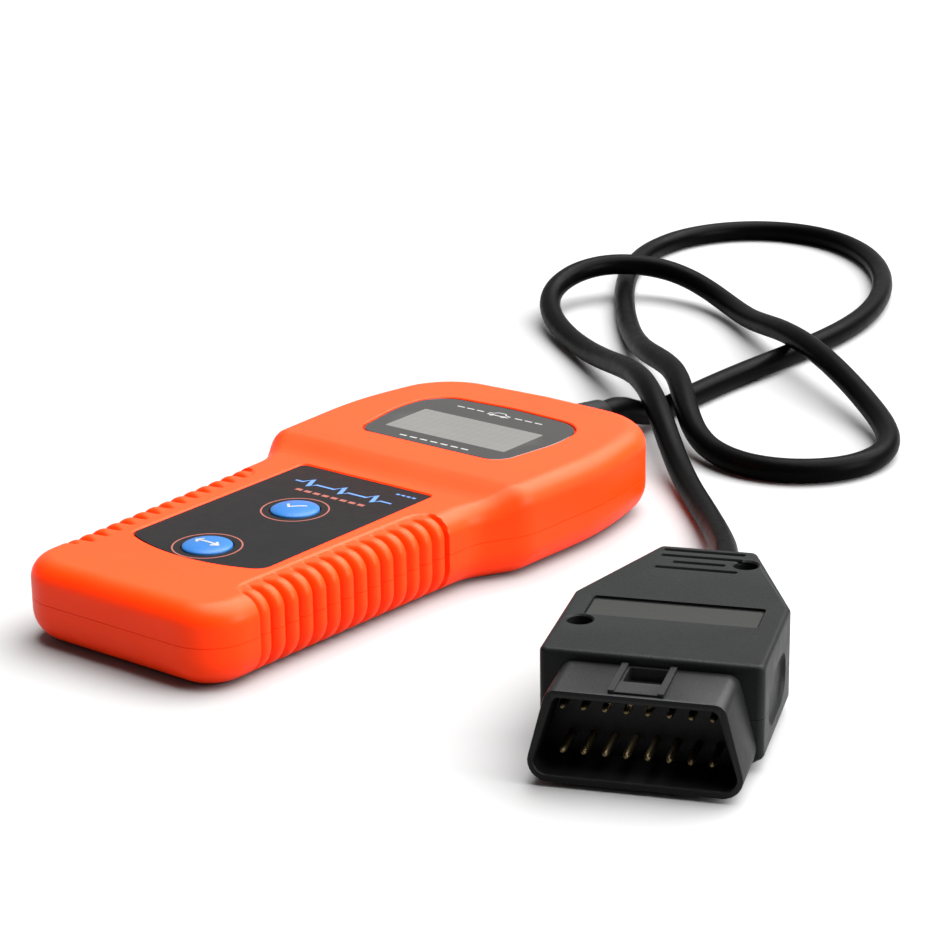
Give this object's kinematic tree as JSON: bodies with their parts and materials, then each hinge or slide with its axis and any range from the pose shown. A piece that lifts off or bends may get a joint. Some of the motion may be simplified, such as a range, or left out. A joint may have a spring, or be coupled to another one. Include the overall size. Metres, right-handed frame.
{
  "type": "car diagnostic code reader",
  "caption": "Hand-held car diagnostic code reader with a display and two keys, on a cord that ends in a D-shaped diagnostic plug.",
  "frame": {"origin": "centre of the reader's footprint on the table it lies on, without the cord and plug", "axes": "+Y from the grip to the display end, +X to the right seen from the face, +Z out of the face"},
  "size_m": [0.2392, 0.3825, 0.0215],
  "materials": {
    "shell_orange": "satin moulded",
    "lens_dark": "polished, dark smoked",
    "overlay_grey": "fine matt print",
    "button_blue": "glossy",
    "board_green": "solder mask",
    "glass_lcd": "matt polariser",
    "black_plastic": "satin",
    "white_plastic": "matt",
    "steel": "plated",
    "brass": "gold plated",
    "cap_blue": "sleeve",
    "core_red": "satin",
    "label_silver": "satin foil",
    "cord_black": "satin jacket",
    "plug_grey": "fine moulded grain",
    "plug_black": "fine moulded grain",
    "plug_label_grey": "satin"
  },
  "bodies": {
    "root": {"front_shell": "shell_orange", "rear_shell": "shell_orange", "display_lens": "lens_dark", "keypad_overlay": "overlay_grey", "main_board": "board_green", "lcd_glass": "glass_lcd", "lcd_frame": "black_plastic", "lcd_backlight": "white_plastic", "lcd_header": "black_plastic", "enter_switch_base": "black_plastic", "enter_switch_dome": "steel", "scroll_switch_base": "black_plastic", "scroll_switch_dome": "steel", "microcontroller": "black_plastic", "can_transceiver": "black_plastic", "crystal": "steel", "voltage_regulator": "black_plastic", "capacitors": "cap_blue", "cable_header": "white_plastic", "cable_header_plug": "white_plastic", "cable_cores": "core_red", "housing_screws": "steel", "board_screws": "steel", "rear_label": "label_silver", "strain_relief": "cord_black", "cable": "cord_black", "plug_bottom_cover": "plug_grey", "plug_top_cover": "plug_grey", "plug_connector_shell": "plug_black", "plug_pins_upper": "brass", "plug_pins_lower": "brass", "plug_grommet": "cord_black", "plug_cores": "core_red", "plug_screws": "steel", "plug_label": "plug_label_grey"},
    "enter_key": {"enter_button": "button_blue", "enter_switch_plunger": "black_plastic"},
    "scroll_key": {"scroll_button": "button_blue", "scroll_switch_plunger": "black_plastic"}
  },
  "joints": [
    {"name": "enter_press", "type": "slide", "parent": "root", "child": "enter_key", "axis": [0, 0, -1], "range_m": [0, 0.0004], "stiffness_N_per_m": 2000, "deforming": ["enter_switch_dome"]},
    {"name": "scroll_press", "type": "slide", "parent": "root", "child": "scroll_key", "axis": [0, 0, -1], "range_m": [0, 0.0004], "stiffness_N_per_m": 2000, "deforming": ["scroll_switch_dome"]}
  ]
}
